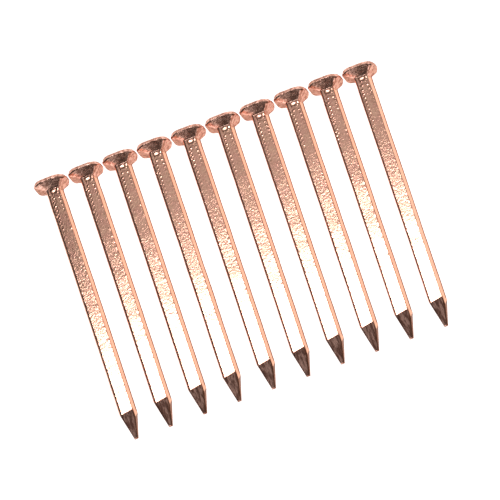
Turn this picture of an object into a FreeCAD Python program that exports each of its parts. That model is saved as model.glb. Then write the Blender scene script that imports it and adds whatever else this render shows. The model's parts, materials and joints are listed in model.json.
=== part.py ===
"""Ten square copper boat nails lying side by side in a row, each one forged from a single piece of wire.

The nails lie flat on a surface, heads towards +Y, points towards -Y, in a row along X.
The origin is the middle of the row's footprint, on the surface, with +Z up. Millimetres.
"""

import FreeCAD, Part
import math
import os

# ---- driving dimensions: the nail ----
LENGTH = 89.0                # 3 1/2 inch, over the head and the point
SHANK_WIDTH = 4.9            # across the flats of the square shank, 6 SWG
SHANK_CORNER = 0.65          # radius along the four long edges
HEAD_WIDTH = 10.75           # across the flats of the head, at the lower edge of its rim
HEAD_TOP_WIDTH = 10.2        # the rim leans in a little towards the top
HEAD_CORNER = 3.7            # plan radius of the head's corners, at its top
HEAD_OFFSET = -0.28          # the head is upset slightly to one side of the shank
RIM_HEIGHT = 1.6             # side of the head at the middle of each flat
RIM_EDGE = 0.7               # rounding of the head's top edge
UNDERSIDE_DROP = 1.75        # height of the four-sided taper from rim to shank
POINT_LENGTH = 8.3           # shoulder of the point to its tip
POINT_SKEW = 0.12            # how far each shoulder line leans, as a slope along the flat
TIP_WIDTH = 1.0              # blunt end of the point

# ---- driving dimensions: marks that the gripping dies leave under the head, on two opposite flats ----
BEAD_RADIUS = 0.34           # radius of one raised bead where it leaves the flat
BEAD_HEIGHT = 0.13
BEAD_PITCH = 1.29
BEAD_START = 6.3             # first bead, below the top of the head
LEFT_ROW = -0.95             # bead rows, either side of the middle of the flat
RIGHT_ROW = 0.95
LEFT_BEADS = 10
RIGHT_BEADS = 4
BOSS_RADIUS = 0.75           # the large round mark close under the head
BOSS_HEIGHT = 0.22
BOSS_START = 4.3

# ---- driving dimensions: the row ----
NAIL_COUNT = 10
PITCH = 11.34                # from one nail to the next
ROW_SKEW = 0.21              # each nail lies this much nearer the viewer than the last

X_AXIS = FreeCAD.Vector(1, 0, 0)
Y_AXIS = FreeCAD.Vector(0, 1, 0)
Z_AXIS = FreeCAD.Vector(0, 0, 1)


def square_prism(width, corner, top, height):
    """A square bar along Y with rounded long edges, from y = top down to y = top - height."""
    bar = Part.makeBox(width, height, width, FreeCAD.Vector(-width / 2, top - height, -width / 2))
    long_edges = [e for e in bar.Edges if abs(e.tangentAt(e.FirstParameter).y) > 0.99]
    return bar.makeFillet(corner, long_edges)


def square_outline(width, y):
    """A closed square wire about the Y axis, in the plane at y."""
    half = width / 2
    corners = [(-half, -half), (half, -half), (half, half), (-half, half), (-half, -half)]
    return Part.makePolygon([FreeCAD.Vector(x, y, z) for x, z in corners])


def rounded_outline(width, corner, y):
    """A closed square wire with rounded corners about the Y axis, in the plane at y."""
    half = width / 2
    core = half - corner
    edges = []
    for quarter in range(4):
        turn = FreeCAD.Rotation(Y_AXIS, -90 * quarter)
        side = [FreeCAD.Vector(half, y, -core), FreeCAD.Vector(half, y, core)]
        reach = core + corner * math.sqrt(0.5)
        bend = [side[1], FreeCAD.Vector(reach, y, reach), FreeCAD.Vector(core, y, half)]
        edges.append(Part.LineSegment(*[turn.multVec(p) for p in side]).toShape())
        edges.append(Part.Arc(*[turn.multVec(p) for p in bend]).toShape())
    return Part.Wire(edges)


def head():
    """A rounded square rim whose underside is a shallow four-sided pyramid down to the shank."""
    depth = RIM_HEIGHT + UNDERSIDE_DROP
    spread = (HEAD_WIDTH - HEAD_TOP_WIDTH) * depth / RIM_HEIGHT
    top = rounded_outline(HEAD_TOP_WIDTH, HEAD_CORNER, 0)
    bottom = rounded_outline(HEAD_TOP_WIDTH + spread, HEAD_CORNER + spread / 2, -depth)
    rim = Part.makeLoft([top, bottom], True, True)
    top_edges = [e for e in rim.Edges if e.BoundBox.YMin > -1e-6]
    rim = rim.makeFillet(RIM_EDGE, top_edges)
    slope = (HEAD_WIDTH - SHANK_WIDTH) / UNDERSIDE_DROP
    widest = SHANK_WIDTH + slope * depth
    pyramid = Part.makeLoft([square_outline(SHANK_WIDTH, -depth), square_outline(widest, 0)], True, True)
    blank = rim.common(pyramid)
    blank.translate(FreeCAD.Vector(HEAD_OFFSET, 0, 0))
    return blank


def point_cutter(turn):
    """A block that cuts one facet of the point. turn is the facet's angle about the nail's axis."""
    taper = (SHANK_WIDTH - TIP_WIDTH) / 2 / POINT_LENGTH
    size = 4 * POINT_LENGTH
    block = Part.makeBox(size, size, size, FreeCAD.Vector(-size / 2, -size / 2, 0))
    block.rotate(FreeCAD.Vector(), X_AXIS, math.degrees(math.atan(taper)))
    block.rotate(FreeCAD.Vector(), Y_AXIS, math.degrees(math.atan(taper * POINT_SKEW)))
    block.translate(FreeCAD.Vector(0, -LENGTH, TIP_WIDTH / 2))
    block.rotate(FreeCAD.Vector(), Y_AXIS, turn)
    return block


def dome(x, below_head, radius, height, turn):
    """A low dome on one flat of the shank: the cap of a ball that is sunk into the shank."""
    ball = (radius ** 2 + height ** 2) / (2 * height)
    centre = FreeCAD.Vector(x, -below_head, SHANK_WIDTH / 2 + height - ball)
    solid = Part.makeSphere(ball, centre)
    solid.rotate(FreeCAD.Vector(), Y_AXIS, turn)
    return solid


def die_marks(turn):
    """The raised marks on one flat: a boss under the head, then two rows of beads."""
    marks = [dome(0, BOSS_START, BOSS_RADIUS, BOSS_HEIGHT, turn)]
    for x, count in ((LEFT_ROW, LEFT_BEADS), (RIGHT_ROW, RIGHT_BEADS)):
        for i in range(count):
            marks.append(dome(x, BEAD_START + i * BEAD_PITCH, BEAD_RADIUS, BEAD_HEIGHT, turn))
    return marks


def nail():
    """One nail, its axis along Y, the top of its head at y = 0 and its point at y = -LENGTH."""
    neck = RIM_HEIGHT / 2
    shank = square_prism(SHANK_WIDTH, SHANK_CORNER, -neck, LENGTH - neck)
    for quarter in range(4):
        shank = shank.cut(point_cutter(90 * quarter))
    body = shank.fuse([head()] + die_marks(0) + die_marks(180))
    return body.removeSplitter().Solids[0]


def resting_tilt():
    """How far the nail's axis leans when it lies on a flat surface, on its head's rim and its point's shoulder."""
    rise = (HEAD_WIDTH - SHANK_WIDTH) / 2
    run = LENGTH - POINT_LENGTH - RIM_HEIGHT
    return math.degrees(math.atan(rise / run))


def row():
    """All the nails as they lie, as {node name: solid}."""
    lying = nail()
    lying.rotate(FreeCAD.Vector(), X_AXIS, resting_tilt())
    nails = {}
    for i in range(NAIL_COUNT):
        placed = lying.copy()
        placed.translate(FreeCAD.Vector(i * PITCH, -i * ROW_SKEW, 0))
        nails[f"nail_{i + 1:02d}"] = placed
    return nails


def stand_at_origin(nails):
    """Moves the row so that its footprint is centred on the origin and it rests on z = 0."""
    box = Part.makeCompound(list(nails.values())).optimalBoundingBox(False, False)
    shift = FreeCAD.Vector(-box.Center.x, -box.Center.y, -box.ZMin)
    for solid in nails.values():
        solid.translate(shift)


def main():
    os.makedirs("parts", exist_ok=True)
    nails = row()
    stand_at_origin(nails)
    for name, solid in nails.items():
        solid.exportStep(f"parts/{name}.step")
        box = solid.optimalBoundingBox(False, False)
        print(name, solid.isValid(), round(solid.Volume, 2), [round(v, 3) for v in (
            box.XMin, box.YMin, box.ZMin, box.XMax, box.YMax, box.ZMax)])


main()
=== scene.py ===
"""Ten square copper boat nails on a pale table: detailed meshes, copper, studio light and camera."""

import json
import math

import bpy
import numpy as np
from mathutils import Matrix, Vector

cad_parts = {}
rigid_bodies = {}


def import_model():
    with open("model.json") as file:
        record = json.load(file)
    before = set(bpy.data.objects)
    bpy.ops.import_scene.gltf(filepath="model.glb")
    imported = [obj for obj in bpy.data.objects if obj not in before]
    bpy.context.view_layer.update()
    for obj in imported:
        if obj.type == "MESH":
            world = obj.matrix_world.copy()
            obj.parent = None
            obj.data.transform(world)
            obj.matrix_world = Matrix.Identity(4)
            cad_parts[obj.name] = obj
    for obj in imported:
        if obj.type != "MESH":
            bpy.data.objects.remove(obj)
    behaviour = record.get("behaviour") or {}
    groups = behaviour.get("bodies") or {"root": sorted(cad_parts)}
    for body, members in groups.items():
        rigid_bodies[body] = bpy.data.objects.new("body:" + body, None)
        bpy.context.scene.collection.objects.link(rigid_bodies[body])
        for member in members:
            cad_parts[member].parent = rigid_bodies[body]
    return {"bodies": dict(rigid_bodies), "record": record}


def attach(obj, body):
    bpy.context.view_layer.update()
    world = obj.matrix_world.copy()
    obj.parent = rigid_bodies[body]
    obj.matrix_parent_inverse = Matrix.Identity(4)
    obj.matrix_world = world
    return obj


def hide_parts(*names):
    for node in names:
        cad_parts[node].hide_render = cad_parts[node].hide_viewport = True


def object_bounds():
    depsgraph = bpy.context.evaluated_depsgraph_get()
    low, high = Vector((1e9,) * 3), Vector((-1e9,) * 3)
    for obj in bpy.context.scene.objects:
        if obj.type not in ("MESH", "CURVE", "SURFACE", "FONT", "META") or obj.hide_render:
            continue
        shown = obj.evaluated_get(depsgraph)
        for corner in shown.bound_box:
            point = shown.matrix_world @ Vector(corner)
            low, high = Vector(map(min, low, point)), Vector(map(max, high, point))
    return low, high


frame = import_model()
cad_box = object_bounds()

MM = 0.001

# ---- the nail: main sizes as in the frame, finer shape fitted to the photo where the frame is plainer ----
SHANK_HALF = 2.45 * MM           # half the width of the square shank
# The four corners are always listed as front right, front left, back left, back right.
SHANK_CORNERS = (0.28 * MM, 0.80 * MM, 0.80 * MM, 0.22 * MM)
SIDE_LEAN = (0.47 * MM, 0.02 * MM)   # the right flat leans in at its front edge and out at its back edge
LENGTH = 89.0 * MM
HEAD_HALF = 5.375 * MM           # half the width of the head at its rim
HEAD_TOP_HALF = 5.05 * MM        # the head's side leans in towards its top
HEAD_CORNERS = (4.0 * MM, 3.0 * MM, 3.2 * MM, 4.3 * MM)
FRAME_HEAD_OFFSET = -0.28 * MM   # the frame's mount on the head's face lies this far from the shank's axis
HEAD_OFFSET = -0.16 * MM         # the head sits a little to the left of the shank
RIM_EDGE = 0.7 * MM              # rounding of the head's top edge
RIM_HEIGHT = 1.2 * MM            # the head's side, from its top down to where the underside begins
RIM_WIDEST = 0.68                # the rim swells to its widest this far down its side
UNDERSIDE_SHARPNESS = (12.0, 7.0, 8.0, 12.0)   # how crisp the ridge at each corner of the underside is
RIDGE_SHADE_LINES = ((1, 0.26, 1.0), (-1, 0.35, 0.8), (-3, 0.35, 0.8))   # painted shade along the underside's ridges: eighth turns, half width in mm, darkness
HEAD_HEIGHT = 3.35 * MM          # top of the head to where the shank starts
HEAD_SAG = 0.45 * MM             # the rim comes down this much further on the left
POINT_LENGTH = 8.3 * MM
POINT_SKEW = 0.19                # how far each shoulder line leans, as a slope along the flat
TIP_HALF = 0.58 * MM
TAPER = (SHANK_HALF - TIP_HALF) / POINT_LENGTH
FACET_LEAN = TAPER * POINT_SKEW
FACET_SHARPNESS = 20             # how crisp the edges between the point's facets are
SPREAD = 0.035                   # the nail gets this much wider across from its head to its tip
BOW = 0.09 * MM                  # how far the shank bows to the right halfway down

# ---- marks that the gripping dies leave under the head ----
BEAD_PITCH = 1.30 * MM
BEAD_START = 8.17 * MM
BEAD_ROW = 0.86 * MM
LEFT_BEADS = 11
RIGHT_BEADS = 5
MARKS_START = HEAD_HEIGHT + 0.62 * MM
MARKS_FADE = 19.0 * MM           # from here to MARKS_END the marks die out
MARKS_END = 22.0 * MM
# The boss comes first. In mm: place across and down, half width, half length. Last: how much it leans.
TOOTH_MARKS = (
    (0.02, 4.27, 0.66, 0.56, 0.12),
    (1.42, 4.30, 0.17, 0.70, 0.12),
    (1.20, 5.20, 0.26, 0.30, 0.12),
    (0.75, 5.62, 0.28, 0.22, 0.12),
    (-0.41, 5.32, 0.24, 0.26, 0.12),
    (-0.50, 6.72, 0.27, 0.29, 0.13),
    (1.10, 6.85, 0.26, 0.32, 0.12),
)
# Half the width in mm, how dark its painted shade is, which also sets how deep it is sunk, and the points it
# runs through, in mm across and down.
TOOTH_GROOVES = (
    (0.20, 1.0, ((-1.0, 3.6), (-0.98, 4.6), (-0.8, 5.0))),
    (0.15, 0.8, ((-0.5, 4.95), (0.1, 5.05), (0.6, 4.9), (0.95, 4.3), (0.95, 3.7))),
    (0.15, 0.7, ((-0.9, 5.5), (-0.75, 5.1))),
    (0.13, 0.6, ((-0.2, 5.75), (0.1, 5.95), (0.5, 6.0))),
    (0.17, 0.9, ((-1.1, 6.75), (-1.0, 6.3), (-0.5, 6.1))),
    (0.14, 0.7, ((0.7, 6.5), (1.1, 6.3), (1.5, 6.55))),
)
CHEVRONS = 9                     # faint V marks between the two rows of beads

# ---- mesh steps ----
WIDE_FLAT_STEPS = 38             # columns across the front and back flats, which carry the die marks
SIDE_FLAT_STEPS = 22
CORNER_STEPS = 8
FINE_RING = 0.16 * MM
SHANK_RING = 0.42 * MM

# ---- colours of the copper ----
BRIGHT = (0.97, 0.58, 0.42, 1)
ROSY = (0.93, 0.49, 0.385, 1)
MOTTLED = (0.78, 0.40, 0.285, 1)
SPECKLED = (0.68, 0.31, 0.22, 1)
SCRAPED = (0.98, 0.60, 0.50, 1)
SCORED = (0.28, 0.13, 0.10, 1)
# painted shade: the dark brown the copper turns to wherever the shade mask is set
SHADED_COPPER = (0.24, 0.095, 0.055, 1)
EDGE_TINT = (0.84, 0.66, 0.54, 1)      # tints of what the metal mirrors at a glancing angle
# painted shade: darker tints of the mirrored edges on the head and where the shade mask is set
HEAD_SHADED_EDGE_TINT = (0.48, 0.385, 0.35, 1)
SHADED_EDGE_TINT = (0.30, 0.20, 0.17, 1)
GRAIN_DEPTH = 0.029 * MM

# ---- table and light ----
TABLE_HALF = 0.112               # a small light table, just wider than the picture
TABLE_GLOW = 1.0
PANEL_X = (-0.106, 0.040)
PANEL_Y = (0.03, 0.20)
PANEL_Z = 0.30
PANEL_STEP = (0.085, 0.075)      # towards the nails' points the panel turns bright between these two places
PANEL_BRIGHT = 7.0
PANEL_TAIL = (0.09, 0.70)        # how bright it is besides, from its far edge to PANEL_FULL
PANEL_FULL = 0.06                # its near edge has faded in by here
LAMP_SIDE = 0.5
# Name, place and radiance.
LAMPS = (("right_light", (0.45, 0.1, 0.95), 1.5), ("front_light", (-0.1, -0.9, 0.5), 1.2))

# ---- camera ----
VIEW_TURN = math.radians(7.5)    # the camera stands this far round the nails, towards their right flats
VIEW_TILT = math.radians(20)     # and leans this far from square on, towards their points
ROLL = math.radians(18.45)       # the nails lean this far from upright in the picture
FRAME_WIDTH = 153.9 * MM         # what the picture spans at the nails
LENS = 1600.0                    # in mm, very long: the picture shows no perspective between the nails
SENSOR = 36.0
SIDE_STEP = 1.24 * MM            # the row sits a little left of the picture's middle
UP_STEP = 0.53 * MM              # and a little below it


def smooth(edge_0, edge_1, x):
    """0 at edge_0, 1 at edge_1, with a soft step between."""
    t = np.clip((x - edge_0) / (edge_1 - edge_0), 0, 1)
    return t * t * (3 - 2 * t)


def shank_outline():
    """Points round the shank's section, as (x, z) columns, starting at the middle of the right flat."""
    points = []
    for side in range(4):
        steps = WIDE_FLAT_STEPS if side % 2 else SIDE_FLAT_STEPS
        corner = SHANK_CORNERS[side]
        start, end = SHANK_CORNERS[side - 1] - SHANK_HALF, SHANK_HALF - corner
        for i in range(steps):
            points.append((side, SHANK_HALF, start + (end - start) * (i + 0.5) / steps))
        for i in range(CORNER_STEPS + 1):
            angle = math.pi / 2 * i / CORNER_STEPS
            points.append((side, end + corner * math.cos(angle), end + corner * math.sin(angle)))
    turned = []
    for side, out, across in points:
        turn = side * math.pi / 2
        x = out * math.cos(turn) - across * math.sin(turn)
        z = out * math.sin(turn) + across * math.cos(turn)
        turned.append((x, z))
    section = np.array(turned)
    right, front = np.clip(section[:, 0] / SHANK_HALF, 0, 1), (section[:, 1] / SHANK_HALF + 1) / 2
    section[:, 0] += right * (SIDE_LEAN[1] - (SIDE_LEAN[0] + SIDE_LEAN[1]) * front)
    return section


def rounded_reach(half, corners):
    """Distance from the axis to a rounded square's outline, per column. corners are its four radii."""
    radius = np.array(corners)[QUARTER]
    folded = ANGLE - QUARTER * math.pi / 2
    c, s = np.abs(np.cos(folded)), np.abs(np.sin(folded))
    core = half - radius
    flat = half / np.maximum(c, s)
    arc = core * (c + s) + np.sqrt(np.maximum(radius ** 2 - core ** 2 * (c - s) ** 2, 0))
    on_flat = np.minimum(c, s) * flat <= core
    return np.where(on_flat, flat, arc)


OUTLINE = shank_outline()
ANGLE = np.arctan2(OUTLINE[:, 1], OUTLINE[:, 0]) % (2 * math.pi)
QUARTER = np.floor(ANGLE / (math.pi / 2)).astype(int) % 4
UNIT = np.stack([np.cos(ANGLE), np.sin(ANGLE)], 1)
SHANK_REACH = np.hypot(OUTLINE[:, 0], OUTLINE[:, 1])
COLUMNS = len(OUTLINE)
# How far the rim turns in below its widest line: more on the left, and a little uneven all round.
RIM_TUCK = 0.1 + 0.13 * smooth(0.0, 0.7, -UNIT[:, 0]) + 0.02 * np.sin(9 * ANGLE)
# The hollow where the head meets the shank is softer at the sides.
NECK_FILLET = 0.12 * MM + 0.33 * MM * smooth(0.75, 0.98, np.abs(UNIT[:, 0]))


def ring(reach, down, shift=0.0):
    """One ring of points: reach from the axis and depth below the head's top, per column."""
    share = np.clip(np.mean(down) / LENGTH, 0, 1)
    x = UNIT[:, 0] * reach * (1 + SPREAD * share) + shift + BOW * math.sin(math.pi * share)
    z = UNIT[:, 1] * reach
    return np.stack([x, -np.broadcast_to(down, x.shape), z], 1)


def underside_reach():
    """Distance across the head's underside per unit of reach: a four-sided taper, rounder at some corners."""
    c, s = np.abs(UNIT[:, 0]), np.abs(UNIT[:, 1])
    power = np.array(UNDERSIDE_SHARPNESS)[QUARTER]
    return (c ** power + s ** power) ** (1 / power)


def head_rings():
    """Rings from the middle of the head's top, over its edge, down its side and in under it to the shank."""
    rings = []
    crown = rounded_reach(HEAD_TOP_HALF - RIM_EDGE, [r - RIM_EDGE for r in HEAD_CORNERS])
    for share in (0.12, 0.3, 0.5, 0.7, 0.85, 0.94):
        rings.append(ring(crown * share, 0.0, HEAD_OFFSET))
    for i in range(8):
        turn = math.pi / 2 * i / 7
        inset = RIM_EDGE * (1 - math.sin(turn))
        reach = rounded_reach(HEAD_TOP_HALF - inset, [r - inset for r in HEAD_CORNERS])
        rings.append(ring(reach, RIM_EDGE * (1 - math.cos(turn)), HEAD_OFFSET))
    top = rounded_reach(HEAD_TOP_HALF, HEAD_CORNERS)
    rim = rounded_reach(HEAD_HALF, HEAD_CORNERS)
    across = underside_reach()
    slope = (HEAD_HEIGHT - RIM_HEIGHT) / (HEAD_HALF - SHANK_HALF)
    sag = HEAD_SAG * smooth(-0.1, 1, -UNIT[:, 0])
    crease = HEAD_HEIGHT - (rim * across - SHANK_HALF) * slope + sag
    for share in (0.1, 0.22, 0.34, 0.46, 0.58, 0.68, 0.76, 0.84, 0.92, 0.98):
        down = RIM_EDGE + (crease - RIM_EDGE) * share
        below = max(0, share - RIM_WIDEST) / (1 - RIM_WIDEST)
        swell = 1 - (1 - min(share / RIM_WIDEST, 1)) ** 2 - below * RIM_TUCK
        rings.append(ring(top + (rim - top) * swell, down, HEAD_OFFSET))
    inner = SHANK_REACH + NECK_FILLET
    shares = (0.012, 0.03, 0.055, 0.09, 0.13, 0.18, 0.25, 0.33, 0.42, 0.52, 0.62, 0.72, 0.82, 0.91, 0.97, 1.0)
    for share in shares:
        reach = (rim - 0.03 * MM) + (inner - rim + 0.03 * MM) * share
        down = HEAD_HEIGHT - (reach * across - SHANK_HALF) * slope + sag * (1 - share)
        rings.append(ring(reach, down, HEAD_OFFSET * (1 - share)))
    start = HEAD_HEIGHT - (inner * across - SHANK_HALF) * slope
    middle = HEAD_HEIGHT - (SHANK_REACH * across - SHANK_HALF) * slope
    for i in range(1, 7):
        t = i / 6
        down = (1 - t) ** 2 * start + 2 * t * (1 - t) * middle + t ** 2 * (middle + NECK_FILLET)
        reach = (1 - t) ** 2 * inner + (1 - (1 - t) ** 2) * SHANK_REACH
        rings.append(ring(reach, down))
    for share in (0.3, 0.6):
        rings.append(ring(SHANK_REACH, down + (MARKS_START - down) * share))
    return rings


def facet_reach(from_tip):
    """Distance from the axis to the four cut facets of the point, at a distance from the tip."""
    total = np.zeros(COLUMNS)
    for side in range(4):
        turned = ANGLE - side * math.pi / 2
        toward = np.cos(turned) - FACET_LEAN * np.sin(turned)
        hit = np.where(toward > 0.05, (TIP_HALF + from_tip * TAPER) / np.maximum(toward, 0.05), 1.0)
        total += (0.001 / hit) ** FACET_SHARPNESS
    return 0.001 * total ** (-1 / FACET_SHARPNESS)


def shoulder():
    """How far from the tip each column of the shank meets the first facet that cuts it."""
    far = np.zeros(COLUMNS)
    for side in range(4):
        turned = ANGLE - side * math.pi / 2
        toward = SHANK_REACH * (np.cos(turned) - FACET_LEAN * np.sin(turned))
        far = np.maximum(far, (toward - TIP_HALF) / TAPER)
    return far


def shank_and_point_rings():
    """Rings down the shank, fine where the die marks are, and down the point to its blunt tip."""
    rings = []
    point_start = LENGTH - POINT_LENGTH - 0.9 * MM
    fine = np.arange(MARKS_START, MARKS_END, FINE_RING)
    coarse = np.linspace(MARKS_END, point_start, round((point_start - MARKS_END) / SHANK_RING))
    for down in np.concatenate([fine, coarse]):
        rings.append(ring(SHANK_REACH, down))
    far = shoulder()
    for share in (0.35, 0.65, 0.88, 0.97):
        rings.append(ring(SHANK_REACH, point_start + (LENGTH - far - point_start) * share))
    for share in np.concatenate([[0.004, 0.02], np.linspace(0.05, 0.975, 34), [0.99]]):
        from_tip = far * (1 - share)
        rings.append(ring(facet_reach(from_tip), LENGTH - from_tip))
    tip = facet_reach(0)
    for share, down in ((0.9, 0.0), (0.72, 0.05 * MM), (0.4, 0.07 * MM), (0.15, 0.075 * MM)):
        rings.append(ring(tip * share, LENGTH + down - 0.05 * MM))
    return rings


def bump(x, y, centre_x, centre_y, size_x, size_y, height):
    """A soft round swelling, or a dent where height is negative."""
    return height * np.exp(-((x - centre_x) / size_x) ** 2 - ((y - centre_y) / size_y) ** 2)


def stroke(x, y, points, width, height):
    """A soft ridge, or a groove, that follows a few points."""
    nearest = np.full(x.shape, 1.0)
    for (x0, y0), (x1, y1) in zip(points[:-1], points[1:]):
        run = (x1 - x0) ** 2 + (y1 - y0) ** 2
        share = np.clip(((x - x0) * (x1 - x0) + (y - y0) * (y1 - y0)) / run, 0, 1)
        nearest = np.minimum(nearest, np.hypot(x - x0 - share * (x1 - x0), y - y0 - share * (y1 - y0)))
    return height * np.exp(-(nearest / width) ** 2)


def tooth_mark(x, y, centre_x, centre_y, size_x, size_y, lean):
    """A small facet with soft edges that leans towards the point, as a die's tooth leaves it."""
    inside = 1 / (1 + (((x - centre_x) / size_x) ** 2 + ((y - centre_y) / size_y) ** 2) ** 3)
    return lean * (centre_y - y) * inside


def die_marks(x, down):
    """Height in metres and painted shade of a flat's marks, x across it and down below the head's top. The
    grooves are sunk and carry painted shade.
    """
    x, y = x / MM, down / MM
    start, pitch, row = BEAD_START / MM, BEAD_PITCH / MM, BEAD_ROW / MM
    height = np.zeros(x.shape)
    painted_shade = np.zeros(x.shape)
    for place_x, place_y, size_x, size_y, lean in TOOTH_MARKS:
        height += tooth_mark(x, y, place_x, place_y, size_x, size_y, lean)
    for width, depth, points in TOOTH_GROOVES:
        painted_shade += stroke(x, y, points, width, depth)
    # Each bead has a sunk crescent with painted shade on the side towards the head, and each is fainter than
    # the last.
    for i in range(LEFT_BEADS):
        centre = start + i * pitch
        fade = 1 - 0.06 * i
        middle = -row
        height += tooth_mark(x, y, middle, centre, 0.25, 0.28, 0.13 * fade)
        arc = [(middle - 0.6, centre - 0.05), (middle - 0.45, centre - 0.45), (middle + 0.05, centre - 0.55)]
        painted_shade += stroke(x, y, arc, 0.17, fade)
    for i in range(RIGHT_BEADS):
        centre = start + 0.05 + i * pitch
        fade = max(0.2, 1 - 0.16 * i)
        height += tooth_mark(x, y, row + 0.42, centre, 0.22, 0.28, 0.12 * fade)
        arc = [(row + 0.05, centre - 0.5), (row + 0.45, centre - 0.55), (row + 0.85, centre - 0.2)]
        painted_shade += stroke(x, y, arc, 0.14, 0.7 * fade)
    for i in range(CHEVRONS):
        centre = start + 0.3 + i * pitch
        fade = 1 - 0.11 * i
        arms = [(-row + 0.3, centre + 0.3), (0.15, centre - 0.35), (row - 0.1, centre + 0.3)]
        height += stroke(x, y, arms, 0.14, 0.012 * fade)
    return (height - 0.022 * painted_shade) * MM, painted_shade


def waviness(rng, down, across):
    """The slow unevenness of a drawn and straightened bar, for one flat. Metres."""
    total = np.zeros(np.shape(down))
    for _ in range(7):
        along = rng.uniform(150, 900)
        over = rng.uniform(-350, 350)
        total += np.sin(down * along + across * over + rng.uniform(0, 6.28)) * rng.uniform(0.3, 1.0) / along
    return total * 0.9


def nicks(rng, down):
    """The short unevenness of one long edge. Metres."""
    total = np.zeros(np.shape(down))
    for _ in range(8):
        total += np.sin(down * rng.uniform(1300, 6000) + rng.uniform(0, 6.28)) * rng.uniform(0.2, 1.0)
    return total * 0.007 * MM


def relief(points, rng):
    """Raises and sinks points of the shank's flats and edges, and returns each point's painted shade: in the
    die marks' grooves, along the side flats' lower edges and along the ridges of the head's underside.
    """
    x, down, z = points[..., 0].copy(), -points[..., 1].copy(), points[..., 2].copy()
    on_shank = smooth(HEAD_HEIGHT - 0.2 * MM, HEAD_HEIGHT + 0.4 * MM, down)
    on_shank *= 1 - smooth(LENGTH - POINT_LENGTH - 1.2 * MM, LENGTH - POINT_LENGTH - 0.4 * MM, down)
    painted_shade = np.zeros(x.shape)
    for face in (1, -1):
        facing = smooth(SHANK_HALF - 0.5 * MM, SHANK_HALF - 0.02 * MM, z * face) * on_shank
        inner = 1 - 0.85 * smooth(SHANK_HALF - 0.75 * MM, SHANK_HALF - 0.35 * MM, np.abs(x))
        shown = facing * inner * (1 - smooth(MARKS_FADE, MARKS_END, down))
        marks, groove_shade = die_marks(x * face, down)
        points[..., 2] += face * (marks * shown + waviness(rng, down, x) * 0.003 * facing)
        # painted shade in the die marks' grooves
        painted_shade += np.clip(groove_shade, 0, 1) * shown
    for face in (1, -1):
        facing = smooth(SHANK_HALF - 0.5 * MM, SHANK_HALF - 0.02 * MM, x * face) * on_shank
        pinch = bump(z, down, 0, 6.2 * MM, 3 * MM, 1.3 * MM, -0.08 * MM)
        points[..., 0] += face * (waviness(rng, down, z) * 0.005 + pinch) * facing
    # Painted shade: the lower edges of the side flats, towards the table, are darkened.
    near_table = smooth(-0.8 * MM, -1.4 * MM, z)
    near_table = near_table * smooth(SHANK_HALF - 0.5 * MM, SHANK_HALF - 0.1 * MM, np.abs(x))
    painted_shade += 0.85 * near_table * on_shank
    reach = np.hypot(x, z)
    corner = smooth(SHANK_HALF * 1.1, SHANK_HALF * 1.22, reach) * on_shank
    for side in (x > 0, x <= 0):
        for end in (z > 0, z <= 0):
            dents = nicks(rng, down) * corner * side * end
            points[..., 0] += dents * x / np.maximum(reach, MM)
            points[..., 2] += dents * z / np.maximum(reach, MM)
    # Painted shade: dark lines along the ridges of the head's underside.
    underside = smooth(RIM_HEIGHT, RIM_HEIGHT + 0.3 * MM, down) * (1 - on_shank)
    for ridge, width, depth in RIDGE_SHADE_LINES:
        off_ridge = (np.arctan2(z, x) - ridge * math.pi / 4) * reach
        painted_shade += np.exp(-(off_ridge / (width * MM)) ** 2) * underside * depth
    return np.clip(painted_shade, 0, 1)


def nail_mesh(name, seed):
    """One nail in its own frame: axis along Y, the top of its head at y = 0."""
    rng = np.random.default_rng(seed)
    rings = head_rings() + shank_and_point_rings()
    points = np.stack(rings)
    down = -points[..., 1].copy()
    painted_shade = relief(points, rng)
    on_point = smooth(-0.1 * MM, 0.1 * MM, down - (LENGTH - shoulder())[None, :])
    # Painted shade: the point's two side facets are darkened.
    side_facets = on_point * smooth(0.0, 0.15 * MM, np.abs(points[..., 0]) - np.abs(points[..., 2]))
    painted_shade = np.maximum(painted_shade, 0.7 * side_facets)
    on_head = 1 - smooth(HEAD_HEIGHT + 0.1 * MM, HEAD_HEIGHT + 1.0 * MM, down)
    count = len(rings)
    vertices = points.reshape(-1, 3)
    top = np.array([[HEAD_OFFSET, 0, 0]])
    bottom = np.array([[0, -LENGTH - 0.03 * MM, 0]])
    vertices = np.concatenate([vertices, top, bottom])
    index = np.arange(count * COLUMNS).reshape(count, COLUMNS)
    following = np.roll(index, -1, axis=1)
    quads = np.stack([index[:-1], index[1:], following[1:], following[:-1]], -1).reshape(-1, 4)
    top_fan = np.stack([index[0], following[0], np.full(COLUMNS, count * COLUMNS)], -1)
    end_fan = np.stack([following[-1], index[-1], np.full(COLUMNS, count * COLUMNS + 1)], -1)
    mesh = bpy.data.meshes.new(name)
    faces = quads.tolist() + top_fan.tolist() + end_fan.tolist()
    mesh.from_pydata(vertices.tolist(), [], faces)
    rolled = smooth(14 * MM, 32 * MM, down) * (1 - smooth(40 * MM, 52 * MM, down))
    layers = {"painted_shade": painted_shade, "on_point": on_point, "on_head": on_head, "rolled": rolled}
    for label, values in layers.items():
        layer = mesh.attributes.new(label, "FLOAT", "POINT")
        layer.data.foreach_set("value", np.concatenate([values.ravel(), [0.0, values[-1, 0]]]))
    mesh.polygons.foreach_set("use_smooth", [True] * len(mesh.polygons))
    mesh.update()
    return mesh


# ---- copper ----

def node(tree, kind, **settings):
    """A new shader node with its properties and unlinked inputs set."""
    made = tree.nodes.new(kind)
    for key, value in settings.items():
        if hasattr(made, key):
            setattr(made, key, value)
        else:
            made.inputs[key.replace("_", " ")].default_value = value
    return made


def noise(tree, vector, scale, detail=2.0, rough=0.5):
    made = node(tree, "ShaderNodeTexNoise", Scale=scale, Detail=detail, Roughness=rough)
    tree.links.new(vector, made.inputs["Vector"])
    return made.outputs["Fac"]


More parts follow.
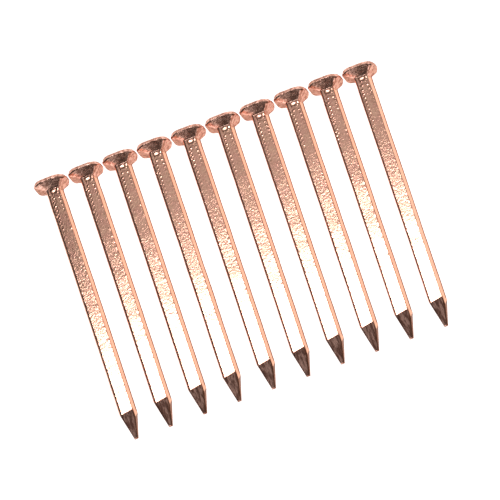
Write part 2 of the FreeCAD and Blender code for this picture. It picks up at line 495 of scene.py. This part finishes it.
def remap(tree, value, low, high, to_low, to_high):
    made = node(tree, "ShaderNodeMapRange")
    made.inputs["From Min"].default_value = low
    made.inputs["From Max"].default_value = high
    made.inputs["To Min"].default_value = to_low
    made.inputs["To Max"].default_value = to_high
    tree.links.new(value, made.inputs["Value"])
    return made.outputs["Result"]


def math_node(tree, operation, first, second):
    made = tree.nodes.new("ShaderNodeMath")
    made.operation = operation
    for socket, value in zip(made.inputs, (first, second)):
        if isinstance(value, (int, float)):
            socket.default_value = value
        else:
            tree.links.new(value, socket)
    return made.outputs[0]


def mix_colour(tree, share, first, second):
    made = tree.nodes.new("ShaderNodeMix")
    made.data_type = "RGBA"
    tree.links.new(share, made.inputs["Factor"])
    for socket, value in ((made.inputs[6], first), (made.inputs[7], second)):
        if isinstance(value, tuple):
            socket.default_value = value
        else:
            tree.links.new(value, socket)
    return made.outputs[2]


def attribute(tree, name):
    made = tree.nodes.new("ShaderNodeAttribute")
    made.attribute_name = name
    return made.outputs["Fac"]


def copper():
    """Bright forged copper: mottled, dented, scratched on the head and point, with painted shade darkening
    its grooves, the head's underside ridges, the point's side facets and the side flats' lower edges, and its
    mirrored edges painted darker on the head.
    """
    material = bpy.data.materials.new("copper")
    material.use_nodes = True
    tree = material.node_tree
    shader = tree.nodes["Principled BSDF"]
    place = tree.nodes.new("ShaderNodeTexCoord").outputs["Object"]
    stretched = node(tree, "ShaderNodeMapping")
    stretched.inputs["Scale"].default_value = (1.0, 0.09, 1.0)
    tree.links.new(place, stretched.inputs["Vector"])
    drawn = stretched.outputs["Vector"]

    patches = noise(tree, place, 420, 3.0, 0.55)
    mottle = noise(tree, place, 1350, 3.0, 0.65)
    speckle = noise(tree, place, 2600, 2.0, 0.6)
    streaks = noise(tree, drawn, 1250, 2.5, 0.6)
    painted_shade = attribute(tree, "painted_shade")
    on_point = attribute(tree, "on_point")
    on_head = attribute(tree, "on_head")
    rolled = attribute(tree, "rolled")

    colour = mix_colour(tree, remap(tree, patches, 0.35, 0.68, 0, 1), BRIGHT, ROSY)
    colour = mix_colour(tree, remap(tree, mottle, 0.42, 0.68, 0, 0.6), colour, MOTTLED)
    colour = mix_colour(tree, remap(tree, speckle, 0.55, 0.75, 0, 0.5), colour, SPECKLED)
    worn = math_node(tree, "MAXIMUM", on_point, math_node(tree, "MULTIPLY", on_head, 0.75))
    scratched = mix_colour(tree, remap(tree, streaks, 0.42, 0.56, 0, 1), SCRAPED, SCORED)
    colour = mix_colour(tree, math_node(tree, "MULTIPLY", worn, 0.85), colour, scratched)
    # Painted shade: the colour darkens by the shade mask, in grooves, along the head's ridges, on the point's
    # side facets and on the side flats' lower edges.
    colour = mix_colour(tree, painted_shade, colour, SHADED_COPPER)
    tree.links.new(colour, shader.inputs["Base Color"])
    shader.inputs["Metallic"].default_value = 1.0
    # Painted shade: the mirrored edges are tinted darker on the head and where the shade mask is set.
    edge = mix_colour(tree, on_head, EDGE_TINT, HEAD_SHADED_EDGE_TINT)
    edge = mix_colour(tree, painted_shade, edge, SHADED_EDGE_TINT)
    tree.links.new(edge, shader.inputs["Specular Tint"])

    gloss = remap(tree, patches, 0.3, 0.7, 0.055, 0.095)
    gloss = math_node(tree, "ADD", gloss, math_node(tree, "MULTIPLY", worn, 0.09))
    tree.links.new(gloss, shader.inputs["Roughness"])

    height = math_node(tree, "ADD", mottle, math_node(tree, "MULTIPLY", speckle, 0.4))
    rougher = math_node(tree, "ADD", math_node(tree, "MULTIPLY", rolled, 0.3), 1.0)
    height = math_node(tree, "MULTIPLY", height, rougher)
    grain = math_node(tree, "MULTIPLY", streaks, math_node(tree, "MULTIPLY", worn, 1.2))
    height = math_node(tree, "ADD", height, grain)
    bumped = node(tree, "ShaderNodeBump", Strength=1.0, Distance=GRAIN_DEPTH)
    tree.links.new(height, bumped.inputs["Height"])
    tree.links.new(bumped.outputs["Normal"], shader.inputs["Normal"])
    return material


def make_nails():
    """A detailed nail in place of each nail of the frame, set by the mount on its head's face."""
    metal = copper()
    mounts = {m["name"]: m for m in frame["record"]["mounts"]}
    for number, body in enumerate(sorted(frame["bodies"])):
        face = mounts[f"{body}_head_face"]
        along = Vector(face["axis"]).normalized()
        across = Vector((1, 0, 0))
        outward = across.cross(along)
        top = Vector(face["pos_m"]) - across * FRAME_HEAD_OFFSET
        mesh = nail_mesh(f"{body}_forged", 100 + number)
        mesh.transform(Matrix((
            (across.x, along.x, outward.x, top.x),
            (across.y, along.y, outward.y, top.y),
            (across.z, along.z, outward.z, top.z),
            (0, 0, 0, 1))))
        mesh.materials.append(metal)
        piece = bpy.data.objects.new(f"{body}_forged", mesh)
        bpy.context.scene.collection.objects.link(piece)
        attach(piece, body)
        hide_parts(body)


# ---- table, light and camera ----

def table():
    """A plain white light table, lit through from below, so that nothing on it throws a dark shadow."""
    mesh = bpy.data.meshes.new("table")
    half = TABLE_HALF
    corners = [(-half, -half, 0), (half, -half, 0), (half, half, 0), (-half, half, 0)]
    mesh.from_pydata(corners, [], [(0, 1, 2, 3)])
    paper = bpy.data.materials.new("white_table")
    paper.use_nodes = True
    shader = paper.node_tree.nodes["Principled BSDF"]
    shader.inputs["Base Color"].default_value = (0.86, 0.86, 0.86, 1)
    shader.inputs["Roughness"].default_value = 0.9
    shader.inputs["Specular IOR Level"].default_value = 0.0
    shader.inputs["Emission Color"].default_value = (1, 1, 1, 1)
    shader.inputs["Emission Strength"].default_value = TABLE_GLOW
    mesh.materials.append(paper)
    top = bpy.data.objects.new("table", mesh)
    bpy.context.scene.collection.objects.link(top)


def lamp(name, place, width, depth, radiance, reflected=True):
    """A rectangular light that faces down. reflected=False keeps it out of reflections."""
    made = bpy.data.lights.new(name, "AREA")
    made.shape = "RECTANGLE"
    made.size = width
    made.size_y = depth
    made.energy = radiance * width * depth * math.pi
    holder = bpy.data.objects.new(name, made)
    bpy.context.scene.collection.objects.link(holder)
    holder.location = place
    holder.visible_camera = False
    holder.visible_glossy = reflected
    return holder


def soft_step(tree, value, low, high, to_low, to_high):
    made = remap(tree, value, low, high, to_low, to_high)
    made.node.interpolation_type = "SMOOTHSTEP"
    return made


def softbox():
    """A panel only seen mirrored: its bright band in the nails' point halves, its dim tail further up."""
    left, right = PANEL_X
    near, far = PANEL_Y
    made = lamp("softbox", ((left + right) / 2, (near + far) / 2, PANEL_Z), right - left, far - near, 1.0)
    made.visible_diffuse = False
    made.data.use_nodes = True
    tree = made.data.node_tree
    glow = tree.nodes["Emission"]
    split = tree.nodes.new("ShaderNodeSeparateXYZ")
    tree.links.new(tree.nodes.new("ShaderNodeNewGeometry").outputs["Position"], split.inputs[0])
    x, y = split.outputs["X"], split.outputs["Y"]
    level = soft_step(tree, y, *PANEL_STEP, 0.0, PANEL_BRIGHT)
    level = math_node(tree, "ADD", level, remap(tree, y, far, PANEL_FULL, *PANEL_TAIL))
    level = math_node(tree, "MULTIPLY", level, soft_step(tree, y, near, PANEL_FULL, 0, 1))
    level = math_node(tree, "MULTIPLY", level, soft_step(tree, x, left, left + 0.01, 0, 1))
    tree.links.new(level, glow.inputs["Strength"])


def room():
    """The studio as the nails mirror it: dark on the left, lighter right, brightest low at the back.

    The camera itself sees plain white in its place.
    """
    world = bpy.data.worlds.new("studio")
    bpy.context.scene.world = world
    world.use_nodes = True
    tree = world.node_tree
    studio = tree.nodes["Background"]
    studio.inputs["Color"].default_value = (1, 0.95, 0.92, 1)
    split = tree.nodes.new("ShaderNodeSeparateXYZ")
    tree.links.new(tree.nodes.new("ShaderNodeTexCoord").outputs["Generated"], split.inputs[0])
    x, y, z = split.outputs
    side = remap(tree, x, -0.13, 0.12, 0.075, 0.5)
    side = math_node(tree, "MULTIPLY", side, remap(tree, x, 0.2, 0.45, 1, 0.4))
    low, far_back = remap(tree, z, 0.42, 0.8, 1, 0), remap(tree, y, 0.3, 0.75, 0, 0.9)
    behind = math_node(tree, "MULTIPLY", low, far_back)
    level = math_node(tree, "ADD", side, behind)
    level = math_node(tree, "MULTIPLY", level, remap(tree, y, -0.9, -0.2, 1.1, 1))
    tree.links.new(level, studio.inputs["Strength"])
    plain = node(tree, "ShaderNodeBackground", Color=(1, 1, 1, 1), Strength=1.0)
    chosen = tree.nodes.new("ShaderNodeMixShader")
    tree.links.new(tree.nodes.new("ShaderNodeLightPath").outputs["Is Camera Ray"], chosen.inputs[0])
    tree.links.new(studio.outputs[0], chosen.inputs[1])
    tree.links.new(plain.outputs[0], chosen.inputs[2])
    tree.links.new(chosen.outputs[0], tree.nodes["World Output"].inputs["Surface"])


def camera():
    """A long lens, nearly square on to the nails, rolled so that the row slants across the picture."""
    face = next(m for m in frame["record"]["mounts"] if m["kind"] == "flat_face")
    along = Vector(face["axis"]).normalized()
    across = Vector((1, 0, 0))
    outward = across.cross(along)
    tilt, turn = VIEW_TILT, VIEW_TURN
    back = (across * math.sin(turn) * math.cos(tilt)
            - along * math.sin(tilt)
            + outward * math.cos(turn) * math.cos(tilt))
    back.normalize()
    upright = (along - back * along.dot(back)).normalized()
    level = upright.cross(back)
    right = level * math.cos(ROLL) - upright * math.sin(ROLL)
    up = level * math.sin(ROLL) + upright * math.cos(ROLL)
    low, high = (Vector(corner) for corner in cad_box)
    centre = (low + high) / 2
    distance = FRAME_WIDTH * LENS / SENSOR
    place = centre + back * distance + right * SIDE_STEP + up * UP_STEP
    lens = bpy.data.cameras.new("camera")
    lens.lens = LENS
    lens.sensor_width = SENSOR
    lens.clip_start = 0.01
    lens.clip_end = 20
    holder = bpy.data.objects.new("camera", lens)
    bpy.context.scene.collection.objects.link(holder)
    holder.matrix_world = Matrix((
        (right.x, up.x, back.x, place.x),
        (right.y, up.y, back.y, place.y),
        (right.z, up.z, back.z, place.z),
        (0, 0, 0, 1)))
    bpy.context.scene.camera = holder


def lights():
    """The softbox that the nails mirror, and plain light on the table."""
    softbox()
    for name, place, radiance in LAMPS:
        made = lamp(name, place, LAMP_SIDE, LAMP_SIDE, radiance, reflected=False)
        made.rotation_euler = Vector(place).to_track_quat("Z", "Y").to_euler()


make_nails()
table()
room()
lights()
camera()
bpy.context.scene.view_settings.view_transform = "Standard"
